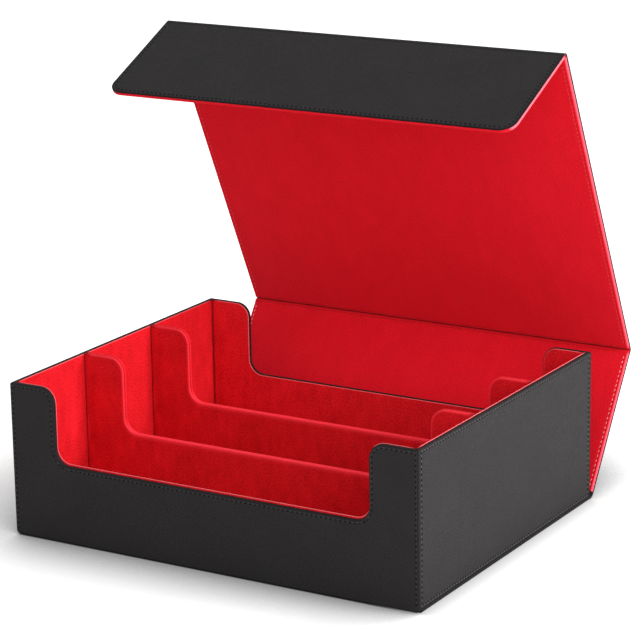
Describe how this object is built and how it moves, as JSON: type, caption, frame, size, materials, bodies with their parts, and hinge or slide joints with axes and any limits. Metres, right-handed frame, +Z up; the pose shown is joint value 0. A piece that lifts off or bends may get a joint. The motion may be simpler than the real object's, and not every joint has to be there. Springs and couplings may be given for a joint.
{
  "type": "flip-top card storage box",
  "caption": "Rigid leather-covered card storage box: an open tray with dividers and finger cut-outs, and a hinged wrap-around lid whose front flap is held shut by magnets.",
  "frame": {"origin": "centre of the tray's underside, on the surface that it stands on", "axes": "+X to the right along the front wall, +Y from the front wall to the back wall, +Z up"},
  "size_m": [0.32, 0.3211, 0.3297],
  "materials": {
    "outer_leather": "satin",
    "lining": "matte",
    "board": "matte",
    "magnet": "satin"
  },
  "bodies": {
    "tray": {"back_wall_board": "board", "back_wall_leather": "outer_leather", "back_wall_lining": "lining", "base_board": "board", "base_leather": "outer_leather", "floor_board": "board", "floor_lining": "lining", "front_divider_board": "board", "front_divider_front_lining": "lining", "front_divider_rear_lining": "lining", "front_magnets": "magnet", "front_wall_board": "board", "front_wall_leather": "outer_leather", "front_wall_lining": "lining", "left_wall_board": "board", "left_wall_leather": "outer_leather", "left_wall_lining": "lining", "rear_divider_board": "board", "rear_divider_front_lining": "lining", "rear_divider_rear_lining": "lining", "rear_fold_leather": "outer_leather", "rear_fold_lining": "lining", "right_wall_board": "board", "right_wall_leather": "outer_leather", "right_wall_lining": "lining"},
    "back_panel": {"back_panel_board": "board", "back_panel_leather": "outer_leather", "back_panel_lining": "lining", "upper_fold_leather": "outer_leather", "upper_fold_lining": "lining"},
    "top_panel": {"flap_fold_leather": "outer_leather", "flap_fold_lining": "lining", "top_panel_board": "board", "top_panel_leather": "outer_leather", "top_panel_lining": "lining"},
    "flap": {"flap_board": "board", "flap_leather": "outer_leather", "flap_lining": "lining", "flap_magnets": "magnet"}
  },
  "joints": [
    {"name": "rear_fold_hinge", "type": "hinge", "parent": "tray", "child": "back_panel", "pos_m": [0, 0.1309, 0], "axis": [1, 0, 0], "range_deg": [-56, 34], "deforming": ["rear_fold_leather", "rear_fold_lining"]},
    {"name": "upper_fold_hinge", "type": "hinge", "parent": "back_panel", "child": "top_panel", "pos_m": [0, 0.19459, 0.09443], "axis": [1, 0, 0], "range_deg": [-59.5, 30.5], "deforming": ["upper_fold_leather", "upper_fold_lining"]},
    {"name": "flap_fold_hinge", "type": "hinge", "parent": "top_panel", "child": "flap", "pos_m": [0, 0.08188, 0.33072], "axis": [1, 0, 0], "range_deg": [-90, 0], "deforming": ["flap_fold_leather", "flap_fold_lining"]}
  ]
}
